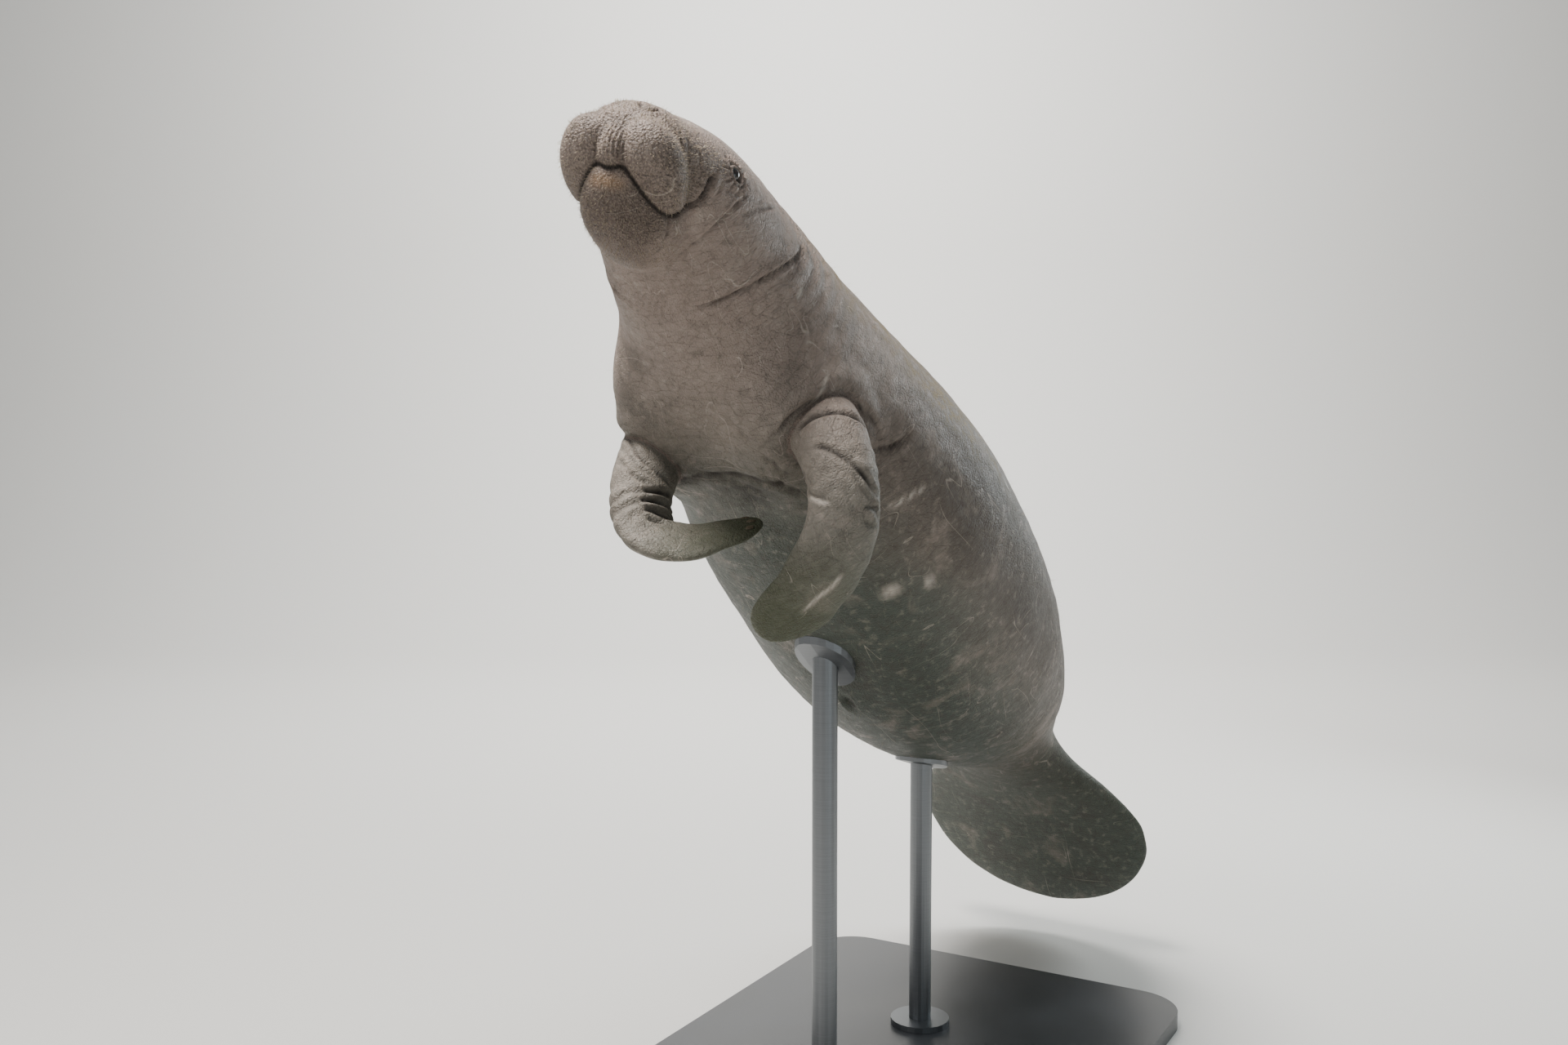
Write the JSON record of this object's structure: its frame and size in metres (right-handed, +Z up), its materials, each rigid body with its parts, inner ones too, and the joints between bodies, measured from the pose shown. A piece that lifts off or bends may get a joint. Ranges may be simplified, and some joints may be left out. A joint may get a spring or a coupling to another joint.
{
  "type": "life-size manatee museum model on a display stand",
  "caption": "Life-size still model of a manatee treading water with its head raised and paddle tail hanging, held by two rods on a flat display base.",
  "frame": {"origin": "centre of the underside of the stand's base, on the floor", "axes": "+Z up, +Y along the floor from the animal's head towards its tail, +X towards the animal's left"},
  "size_m": [1, 2.2143, 1.9768],
  "materials": {
    "skin": "wet, wrinkled grey-brown hide, greener towards the belly and tail",
    "eye": "wet and glossy",
    "stand_board": "dark satin lacquer",
    "stand_rod": "satin"
  },
  "bodies": {
    "root": {"head": "skin", "lower_jaw": "skin", "neck": "skin", "chest": "skin", "belly": "skin", "tail_stock": "skin", "tail_paddle": "skin", "flipper_left": "skin", "flipper_right": "skin", "eye_left": "eye", "eye_right": "eye", "stand_base": "stand_board", "stand_rod_front": "stand_rod", "stand_rod_rear": "stand_rod"}
  },
  "joints": []
}
